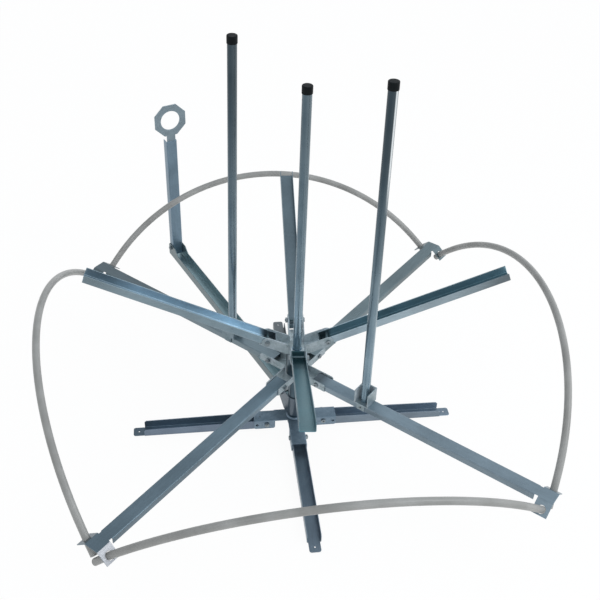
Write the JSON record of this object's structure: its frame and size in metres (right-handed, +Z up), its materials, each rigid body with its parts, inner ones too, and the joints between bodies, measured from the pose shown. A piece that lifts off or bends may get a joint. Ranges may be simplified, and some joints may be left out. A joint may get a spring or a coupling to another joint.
{
  "type": "pipe coil unwinder",
  "caption": "Folding zinc-plated turntable on a cross-shaped floor stand, with upright posts and plastic hoops, for unwinding a coil of flexible pipe through a side guide eye.",
  "frame": {"origin": "on the floor, on the axis of rotation, which is the centre of the four foot holes", "axes": "+Z up along the axis of rotation, -Y towards the side that the picture shows as the front, +X to its right"},
  "size_m": [1.453, 1.5385, 1.1921],
  "materials": {
    "sheet_steel": "zinc-plated, fairly glossy",
    "tube_steel": "zinc-plated, fairly glossy",
    "fastener_steel": "zinc-plated",
    "hoop_plastic": "milky grey, slightly translucent",
    "cap_rubber": "black",
    "bush_plastic": "black"
  },
  "bodies": {
    "stand": {"base_hub": "sheet_steel", "column_tube": "tube_steel", "column_collar": "tube_steel", "collar_screw": "fastener_steel", "thrust_washer": "fastener_steel", "top_washer": "fastener_steel", "retaining_ring": "fastener_steel", "leg_pivot_bolts": "fastener_steel", "leg_pivot_nuts": "fastener_steel"},
    "guide": {"guide_bracket": "sheet_steel", "guide_arm": "sheet_steel", "guide_arm_bolts": "fastener_steel", "guide_arm_nuts": "fastener_steel", "guide_hinge_bolt": "fastener_steel", "guide_hinge_nut": "fastener_steel"},
    "guide_upright": {"guide_upright": "sheet_steel", "guide_eye": "sheet_steel"},
    "rotor": {"lower_hub": "sheet_steel", "barrel_tube": "tube_steel", "upper_hub": "sheet_steel", "lower_bush": "bush_plastic", "upper_bush": "bush_plastic", "post_socket": "tube_steel", "long_arm_back_right": "sheet_steel", "long_arm_back_left": "sheet_steel", "long_arm_front_left": "sheet_steel", "long_arm_front_right": "sheet_steel", "long_arm_bolts": "fastener_steel", "long_arm_nuts": "fastener_steel", "hoop_front": "hoop_plastic", "hoop_right": "hoop_plastic", "hoop_back": "hoop_plastic", "hoop_left": "hoop_plastic", "rising_arm_bolts": "fastener_steel", "rising_arm_nuts": "fastener_steel"},
    "post_centre": {"post_centre": "tube_steel", "cap_centre": "cap_rubber"},
    "leg_right": {"leg_right": "sheet_steel"},
    "leg_back": {"leg_back": "sheet_steel"},
    "leg_left": {"leg_left": "sheet_steel"},
    "leg_front": {"leg_front": "sheet_steel"},
    "rising_arm_right": {"rising_arm_right": "sheet_steel"},
    "rising_arm_back": {"rising_arm_back": "sheet_steel"},
    "rising_arm_left": {"rising_arm_left": "sheet_steel"},
    "rising_arm_front": {"rising_arm_front": "sheet_steel"},
    "carriage_left": {"carriage_left": "sheet_steel", "set_screw_left": "fastener_steel"},
    "post_left": {"post_left": "tube_steel", "cap_left": "cap_rubber"},
    "carriage_right": {"carriage_right": "sheet_steel", "set_screw_right": "fastener_steel"},
    "post_right": {"post_right": "tube_steel", "cap_right": "cap_rubber"}
  },
  "joints": [
    {"name": "leg_right_fold", "type": "hinge", "parent": "stand", "child": "leg_right", "pos_m": [0.08696, -0.00273, 0.021], "axis": [0.0314, 0.9995, 0], "range_deg": [0, 90]},
    {"name": "leg_back_fold", "type": "hinge", "parent": "stand", "child": "leg_back", "pos_m": [0.00273, 0.08696, 0.021], "axis": [-0.9995, 0.0314, 0], "range_deg": [0, 90]},
    {"name": "leg_left_fold", "type": "hinge", "parent": "stand", "child": "leg_left", "pos_m": [-0.08696, 0.00273, 0.021], "axis": [-0.0314, -0.9995, 0], "range_deg": [0, 90]},
    {"name": "leg_front_fold", "type": "hinge", "parent": "stand", "child": "leg_front", "pos_m": [-0.00273, -0.08696, 0.021], "axis": [0.9995, -0.0314, 0], "range_deg": [0, 90]},
    {"name": "guide_swing", "type": "hinge", "parent": "stand", "child": "guide", "pos_m": [0, 0, 0.1], "axis": [0, 0, 1], "continuous": true},
    {"name": "guide_upright_fold", "type": "hinge", "parent": "guide", "child": "guide_upright", "pos_m": [-0.31608, 0.82127, 0.125], "axis": [-0.9333, -0.3592, 0], "range_deg": [0, 90]},
    {"name": "rotor_turn", "type": "hinge", "parent": "stand", "child": "rotor", "pos_m": [0, 0, 0.25], "axis": [0, 0, 1], "continuous": true},
    {"name": "rising_arm_right_fold", "type": "hinge", "parent": "rotor", "child": "rising_arm_right", "pos_m": [0.08593, -0.0036, 0.33771], "axis": [-0.0419, -0.9991, 0], "range_deg": [0, 60]},
    {"name": "rising_arm_back_fold", "type": "hinge", "parent": "rotor", "child": "rising_arm_back", "pos_m": [0.0069, 0.08572, 0.33771], "axis": [0.9968, -0.0802, 0], "range_deg": [0, 60]},
    {"name": "rising_arm_left_fold", "type": "hinge", "parent": "rotor", "child": "rising_arm_left", "pos_m": [-0.08534, 0.01063, 0.33974], "axis": [0.1236, 0.9923, 0], "range_deg": [0, 60]},
    {"name": "rising_arm_front_fold", "type": "hinge", "parent": "rotor", "child": "rising_arm_front", "pos_m": [-0.01078, -0.08532, 0.34121], "axis": [-0.9921, 0.1253, 0], "range_deg": [0, 60]},
    {"name": "carriage_left_slide", "type": "slide", "parent": "rotor", "child": "carriage_left", "axis": [-0.7071, 0.7071, 0], "range_m": [-0.08, 0.43]},
    {"name": "post_left_lift", "type": "slide", "parent": "carriage_left", "child": "post_left", "axis": [0.0079, -0.0349, 0.9994], "range_m": [0, 0.04]},
    {"name": "carriage_right_slide", "type": "slide", "parent": "rotor", "child": "carriage_right", "axis": [0.7071, -0.7071, 0], "range_m": [-0.08, 0.43]},
    {"name": "post_right_lift", "type": "slide", "parent": "carriage_right", "child": "post_right", "axis": [-0.0038, 0.0204, 0.9998], "range_m": [0, 0.04]},
    {"name": "post_centre_lift", "type": "slide", "parent": "rotor", "child": "post_centre", "axis": [0, 0, 1], "range_m": [0, 0.13]}
  ]
}
